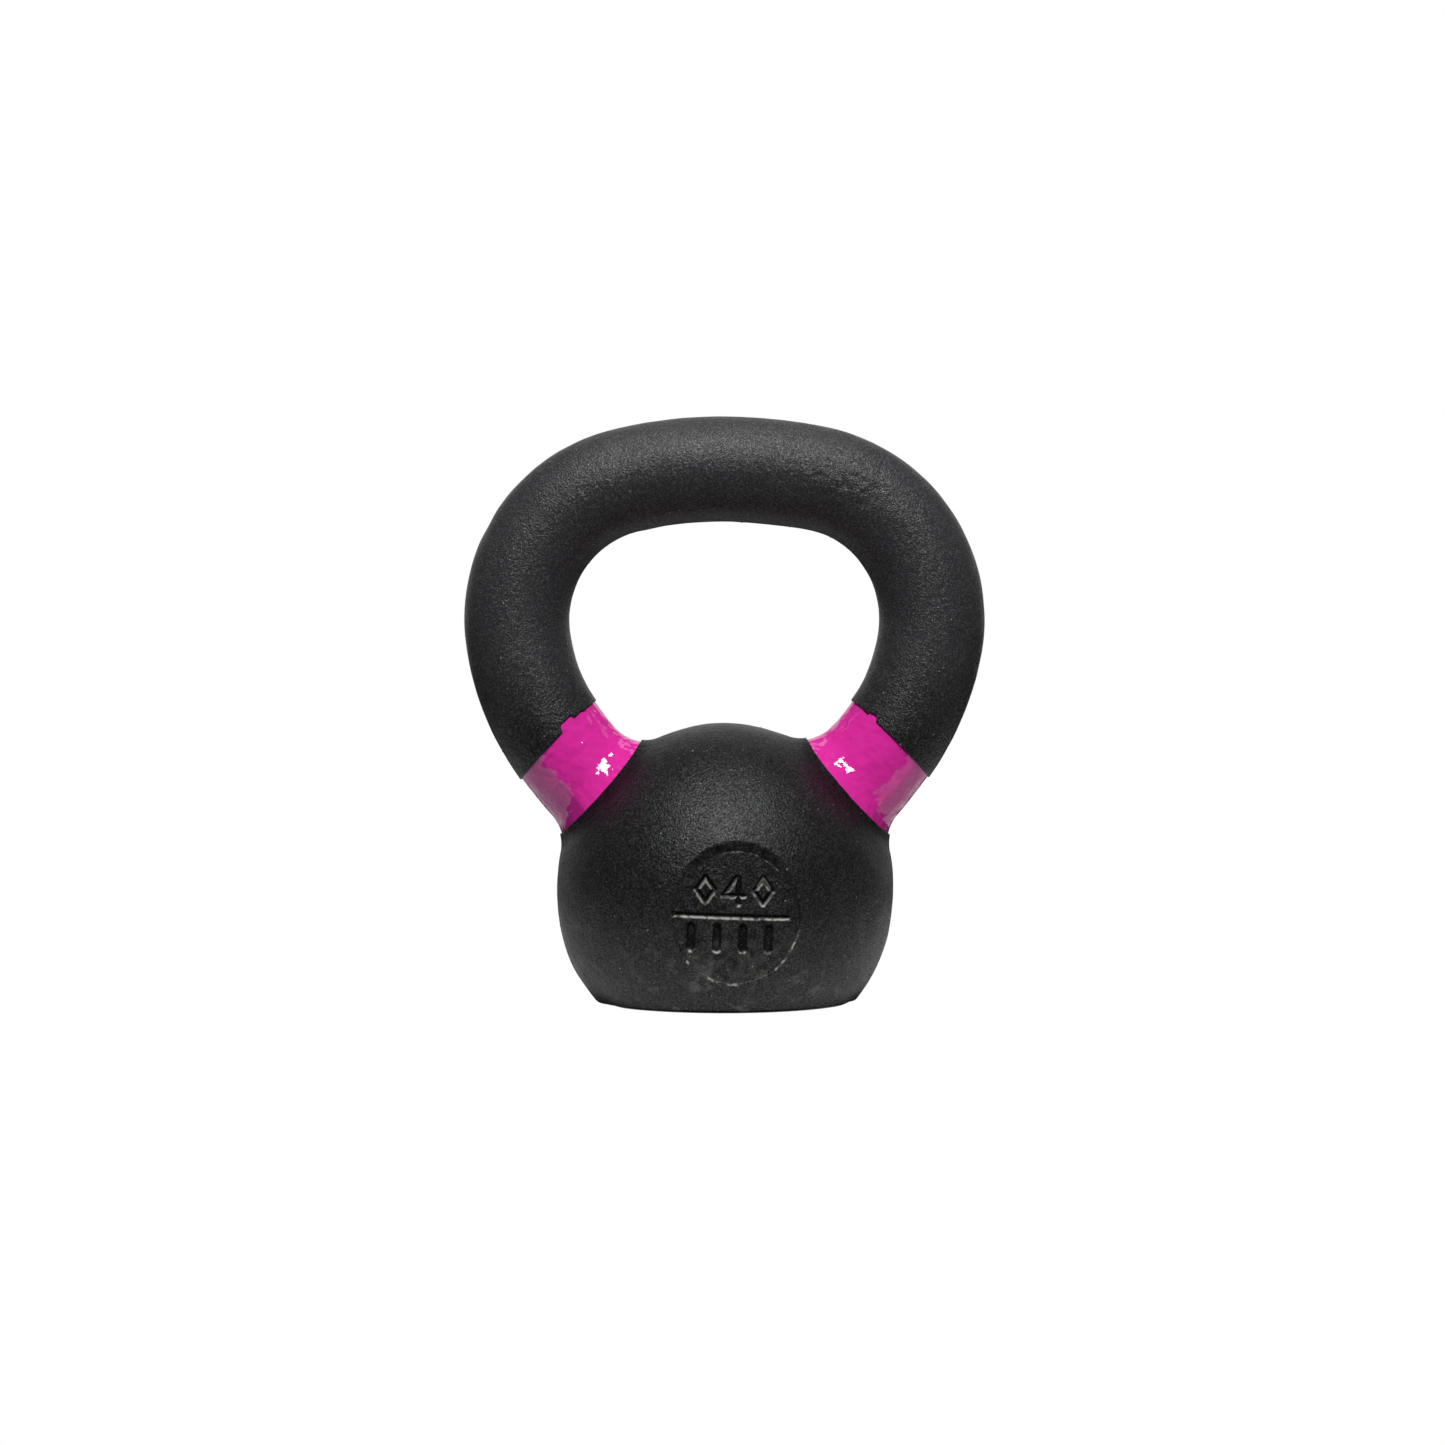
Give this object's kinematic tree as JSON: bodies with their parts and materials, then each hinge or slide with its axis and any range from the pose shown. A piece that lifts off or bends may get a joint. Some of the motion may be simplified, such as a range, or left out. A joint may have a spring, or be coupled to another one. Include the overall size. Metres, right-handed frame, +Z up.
{
  "type": "kettlebell",
  "caption": "Small cast-iron kettlebell: round ball with a flat base and a sunk round plaque, loop handle, black coat and a bright band round each horn.",
  "frame": {"origin": "middle of the flat base, on the surface it stands on", "axes": "+Z up through the handle, X along the handle from the left horn to the right, +Y to the back; the plaque faces -Y"},
  "size_m": [0.1464, 0.0923, 0.1643],
  "materials": {
    "casting": "as-cast grey iron, hidden under the coat",
    "black_coat": "satin black coat over rough cast iron, fine sandy texture",
    "band_paint": "brushed-on gloss magenta enamel"
  },
  "bodies": {
    "root": {"iron_casting": "casting", "ball_coat": "black_coat", "base_coat": "black_coat", "handle_coat": "black_coat", "left_band": "band_paint", "right_band": "band_paint"}
  },
  "joints": []
}
